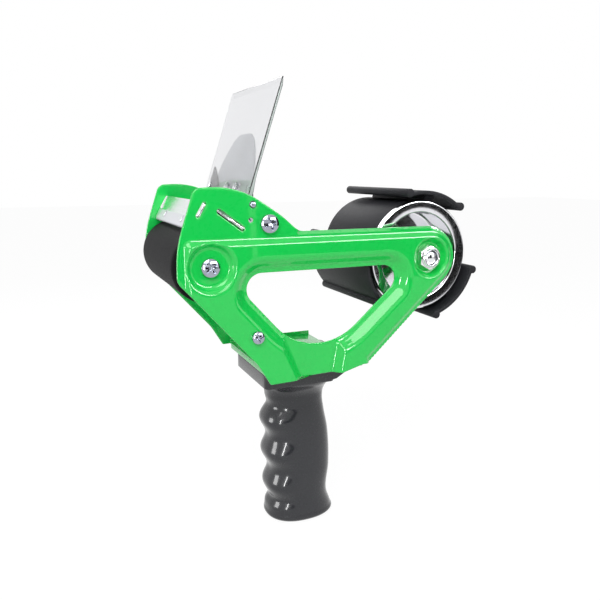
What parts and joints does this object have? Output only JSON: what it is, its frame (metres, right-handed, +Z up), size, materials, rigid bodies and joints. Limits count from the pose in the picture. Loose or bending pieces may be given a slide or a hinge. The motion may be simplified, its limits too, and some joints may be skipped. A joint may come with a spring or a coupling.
{
  "type": "packing tape dispenser",
  "caption": "Hand-held packing tape dispenser: stamped green side plates, pistol grip, sprung clear flap over a serrated blade, rubber roller, cantilevered hub with springy core pads",
  "frame": {"origin": "Centre of the grip's flat base, on which the dispenser stands", "axes": "+Z up along the grip; +X from the rubber roller at the front to the hub at the back; +Y from the side plate that carries the hub to the shorter plate"},
  "size_m": [0.193, 0.0986, 0.2684],
  "materials": {
    "green_paint": "gloss green enamel",
    "grip_plastic": "smooth black moulding",
    "hub_plastic": "satin dark grey moulding",
    "rubber": "ground black rubber",
    "core_plastic": "black moulding",
    "bright_steel": "bright plated steel",
    "satin_steel": "satin steel",
    "clear_plastic": "clear moulding",
    "milky_plastic": "milky flexible sheet",
    "friction_felt": "pressed felt"
  },
  "bodies": {
    "frame": {"near_side_plate": "green_paint", "far_side_plate": "green_paint", "handle_saddle": "green_paint", "grip": "grip_plastic", "blade_holder_plate": "bright_steel", "tape_guide_plate": "bright_steel", "blade_rivet_1": "bright_steel", "blade_rivet_2": "bright_steel", "flap_pin": "bright_steel", "flap_spring": "bright_steel", "hub_bolt": "bright_steel", "hub_lock_nut": "bright_steel", "hub_washer": "bright_steel", "brake_spring": "bright_steel", "roller_screw_near": "bright_steel", "roller_screw_far": "bright_steel", "upper_screw_near": "bright_steel", "upper_screw_far": "bright_steel", "lower_screw_near": "bright_steel", "lower_screw_far": "bright_steel", "grip_screw_front": "bright_steel", "grip_screw_back": "bright_steel", "roller_axle": "satin_steel", "upper_tie_rod": "satin_steel", "lower_tie_rod": "satin_steel", "cutting_blade": "satin_steel", "brake_washer": "friction_felt"},
    "flap": {"clear_flap": "clear_plastic", "tape_tongue": "milky_plastic", "tongue_rivet_1": "clear_plastic", "tongue_rivet_2": "clear_plastic", "flap_corner_leaf": "satin_steel", "leaf_rivet": "bright_steel"},
    "roller": {"roller_core": "core_plastic", "roller_sleeve": "rubber"},
    "hub": {"hub_drum": "hub_plastic", "core_pad_1": "hub_plastic", "core_pad_2": "hub_plastic", "core_pad_3": "hub_plastic", "hub_cup": "bright_steel"}
  },
  "joints": [
    {"name": "flap_swing", "type": "hinge", "parent": "frame", "child": "flap", "pos_m": [-0.0431, 0, 0.20369], "axis": [0, -1, 0], "range_deg": [0, 90], "stiffness_Nm_per_rad": 0.02, "springref_deg": -28.65},
    {"name": "roller_spin", "type": "hinge", "parent": "frame", "child": "roller", "pos_m": [-0.0665, 0, 0.1719], "axis": [0, 1, 0], "continuous": true},
    {"name": "hub_spin", "type": "hinge", "parent": "frame", "child": "hub", "pos_m": [0.067, 0, 0.1704], "axis": [0, 1, 0], "continuous": true}
  ]
}
